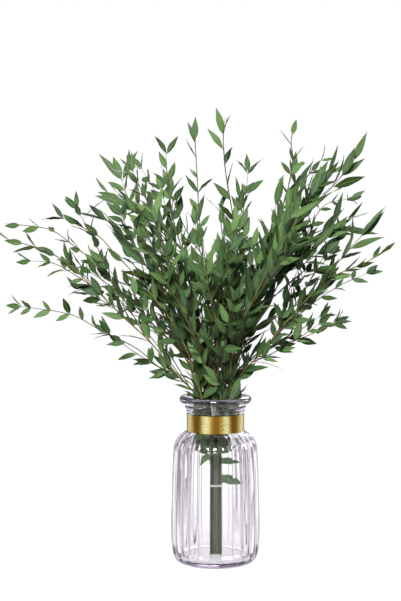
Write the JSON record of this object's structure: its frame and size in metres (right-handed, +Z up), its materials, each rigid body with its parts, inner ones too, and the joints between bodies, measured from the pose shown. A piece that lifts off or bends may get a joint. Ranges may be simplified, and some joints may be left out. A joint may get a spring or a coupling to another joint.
{
  "type": "eucalyptus branches in a glass vase",
  "caption": "Leafy eucalyptus branches, dried and kept green, fanning out of a fluted glass vase with a plain gold ribbon round its neck.",
  "frame": {"origin": "centre of the vase's flat base, on the surface that the vase stands on", "axes": "+Z up, +X to the right and +Y away from someone who looks at the front"},
  "size_m": [0.4735, 0.3332, 0.5399],
  "materials": {
    "glass": "clear pressed glass with a faint lilac tint",
    "ribbon": "gold metallic satin",
    "band": "matt string",
    "foliage": "matt green leaves on brown stems"
  },
  "bodies": {
    "root": {"vase": "glass", "ribbon": "ribbon", "bundle_band": "band", "far_left": "foliage", "left_back": "foliage", "left_front": "foliage", "left_high": "foliage", "far_right": "foliage", "right_back": "foliage", "right_high": "foliage", "front_right": "foliage", "front": "foliage", "front_left": "foliage", "back": "foliage", "back_left": "foliage", "back_right": "foliage", "mid_left": "foliage", "left_tall": "foliage", "right_tall": "foliage", "right_mid": "foliage", "crown_right": "foliage", "left_low_back": "foliage", "left_inner": "foliage", "right_low_back": "foliage", "right_inner": "foliage", "centre": "foliage", "crown_left": "foliage"}
  },
  "joints": []
}
